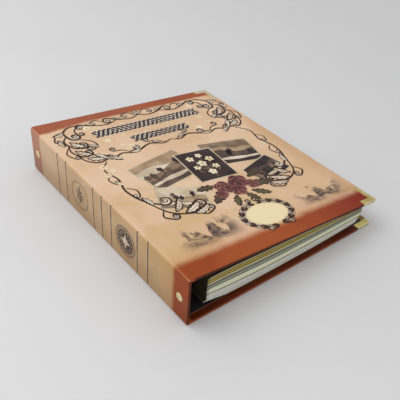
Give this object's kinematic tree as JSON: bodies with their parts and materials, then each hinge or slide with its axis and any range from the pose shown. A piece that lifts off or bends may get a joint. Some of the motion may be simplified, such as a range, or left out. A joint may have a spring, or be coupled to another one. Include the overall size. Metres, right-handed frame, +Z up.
{
  "type": "ring-bound album",
  "caption": "Ring-bound album: a board case with a printed wrap and brass corners, hinged at the spine, with a riveted ring mechanism that opens and holds punched pocket leaves.",
  "frame": {"origin": "under the middle of the closed album's box, on the surface that it lies on", "axes": "+X from spine to fore edge, +Y from tail to head, +Z up through the front cover"},
  "size_m": [0.2712, 0.3144, 0.0595],
  "materials": {
    "case_print": "laminated print, satin",
    "greyboard": "matt",
    "endpaper": "matt",
    "brass": "brushed and lacquered",
    "ring_steel": "nickel plated",
    "leaf_card": "matt",
    "leaf_paper": "matt",
    "pocket_film": "clear film over paper"
  },
  "bodies": {
    "back_cover": {"back_board": "greyboard", "back_wrap": "case_print", "back_lining": "endpaper", "corner_back_head": "brass", "corner_back_tail": "brass", "back_crease": "case_print"},
    "spine": {"spine_board": "greyboard", "spine_wrap": "case_print", "spine_lining": "endpaper", "front_crease": "case_print", "ring_base_plate": "ring_steel", "rivet_head": "brass", "rivet_tail": "brass"},
    "front_cover": {"front_board": "greyboard", "front_wrap": "case_print", "front_lining": "endpaper", "corner_front_head": "brass", "corner_front_tail": "brass"},
    "ring_upper": {"upper_blade": "ring_steel", "upper_ring_1": "ring_steel", "upper_ring_2": "ring_steel", "upper_ring_3": "ring_steel", "upper_ring_4": "ring_steel"},
    "ring_lower": {"lower_blade": "ring_steel", "lower_ring_1": "ring_steel", "lower_ring_2": "ring_steel", "lower_ring_3": "ring_steel", "lower_ring_4": "ring_steel"},
    "leaves_1": {"leaf_section_1": "pocket_film"},
    "leaves_2": {"leaf_section_2": "leaf_paper"},
    "leaves_3": {"leaf_section_3": "leaf_paper"},
    "leaves_4": {"leaf_section_4": "leaf_paper"},
    "leaves_5": {"leaf_section_5": "pocket_film"},
    "leaves_6": {"leaf_section_6": "pocket_film"},
    "leaves_7": {"leaf_section_7": "leaf_card"},
    "leaves_8": {"leaf_section_8": "leaf_card"}
  },
  "joints": [
    {"name": "spine_fold", "type": "hinge", "parent": "back_cover", "child": "spine", "pos_m": [-0.13123, 0, 0.0034], "axis": [0, -1, 0], "range_deg": [0, 87]},
    {"name": "cover_open", "type": "hinge", "parent": "spine", "child": "front_cover", "pos_m": [-0.13123, 0, 0.05635], "axis": [0, -1, 0], "range_deg": [0, 98]},
    {"name": "ring_open", "type": "hinge", "parent": "spine", "child": "ring_upper", "pos_m": [-0.12973, 0, 0.04172], "axis": [0, -1, 0], "range_deg": [0, 5]},
    {"name": "ring_lower_open", "type": "hinge", "parent": "spine", "child": "ring_lower", "pos_m": [-0.12973, 0, 0.01579], "axis": [0, -1, 0], "range_deg": [-5, 0]},
    {"name": "leaf_turn_1", "type": "hinge", "parent": "spine", "child": "leaves_1", "pos_m": [-0.10717, 0, 0.02875], "axis": [0, -1, 0], "range_deg": [-87, 0]},
    {"name": "leaf_turn_2", "type": "hinge", "parent": "spine", "child": "leaves_2", "pos_m": [-0.10717, 0, 0.02875], "axis": [0, -1, 0], "range_deg": [-87, 0]},
    {"name": "leaf_turn_3", "type": "hinge", "parent": "spine", "child": "leaves_3", "pos_m": [-0.10717, 0, 0.02875], "axis": [0, -1, 0], "range_deg": [-87, 0]},
    {"name": "leaf_turn_4", "type": "hinge", "parent": "spine", "child": "leaves_4", "pos_m": [-0.10717, 0, 0.02875], "axis": [0, -1, 0], "range_deg": [-87, 0]},
    {"name": "leaf_turn_5", "type": "hinge", "parent": "spine", "child": "leaves_5", "pos_m": [-0.10717, 0, 0.02875], "axis": [0, -1, 0], "range_deg": [0, 92.12]},
    {"name": "leaf_turn_6", "type": "hinge", "parent": "spine", "child": "leaves_6", "pos_m": [-0.10717, 0, 0.02875], "axis": [0, -1, 0], "range_deg": [0, 93.59]},
    {"name": "leaf_turn_7", "type": "hinge", "parent": "spine", "child": "leaves_7", "pos_m": [-0.10717, 0, 0.02875], "axis": [0, -1, 0], "range_deg": [0, 95.06]},
    {"name": "leaf_turn_8", "type": "hinge", "parent": "spine", "child": "leaves_8", "pos_m": [-0.10717, 0, 0.02875], "axis": [0, -1, 0], "range_deg": [0, 96.53]}
  ],
  "couplings": [
    {"joint": "ring_lower_open", "follows": "ring_open", "ratio": -1},
    {"joint": "leaf_turn_1", "follows": "spine_fold", "ratio": -1},
    {"joint": "leaf_turn_2", "follows": "spine_fold", "ratio": -1},
    {"joint": "leaf_turn_3", "follows": "spine_fold", "ratio": -1},
    {"joint": "leaf_turn_4", "follows": "spine_fold", "ratio": -1},
    {"joint": "leaf_turn_5", "follows": "cover_open", "ratio": 0.94},
    {"joint": "leaf_turn_6", "follows": "cover_open", "ratio": 0.955},
    {"joint": "leaf_turn_7", "follows": "cover_open", "ratio": 0.97},
    {"joint": "leaf_turn_8", "follows": "cover_open", "ratio": 0.985}
  ]
}
